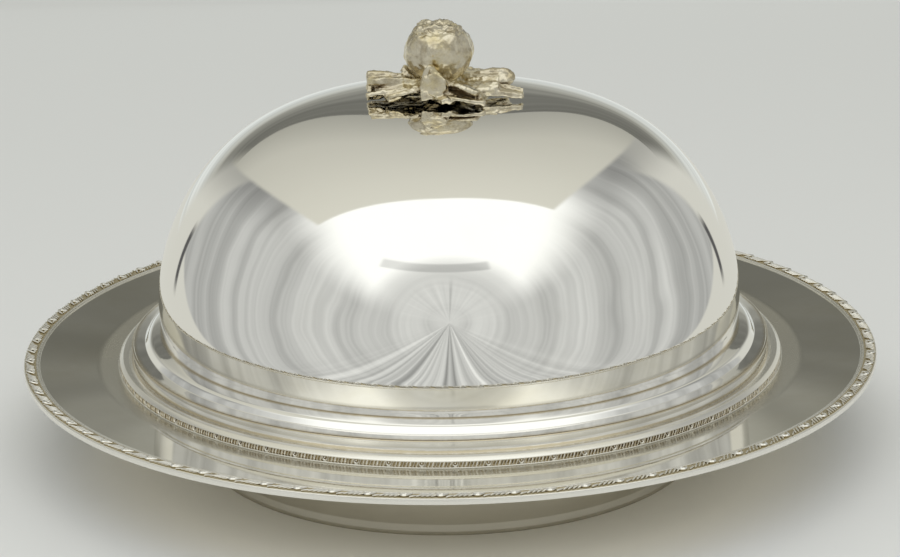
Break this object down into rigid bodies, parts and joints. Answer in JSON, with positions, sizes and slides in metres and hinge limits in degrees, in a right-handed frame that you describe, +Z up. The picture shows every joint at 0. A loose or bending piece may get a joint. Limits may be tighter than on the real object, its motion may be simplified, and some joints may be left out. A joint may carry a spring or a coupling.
{
  "type": "covered serving dish",
  "caption": "Round footed serving dish with a broad brim and an ornamental rim, under a domed cover topped by a cast fruit on leaves.",
  "frame": {"origin": "centre of the circle on which the foot ring stands", "axes": "+Z up through the fruit on the cover; -Y towards the viewer of the picture; +X to the viewer's right"},
  "size_m": [0.3, 0.3, 0.1529],
  "materials": {
    "polished_silver": "mirror-polished silver plate",
    "ornament_silver": "polished silver plate, tarnished in the hollows",
    "cast_silver": "cast and chased silver plate, yellowed in the hollows",
    "brass_fastening": "turned brass"
  },
  "bodies": {
    "root": {"dish_body": "polished_silver", "foot_ring": "polished_silver", "rim_border": "ornament_silver", "cover_dome": "polished_silver", "cover_border": "ornament_silver", "finial_leaves": "cast_silver", "finial_fruit": "cast_silver", "finial_stud": "brass_fastening", "finial_washer": "brass_fastening", "finial_nut": "brass_fastening"}
  },
  "joints": []
}
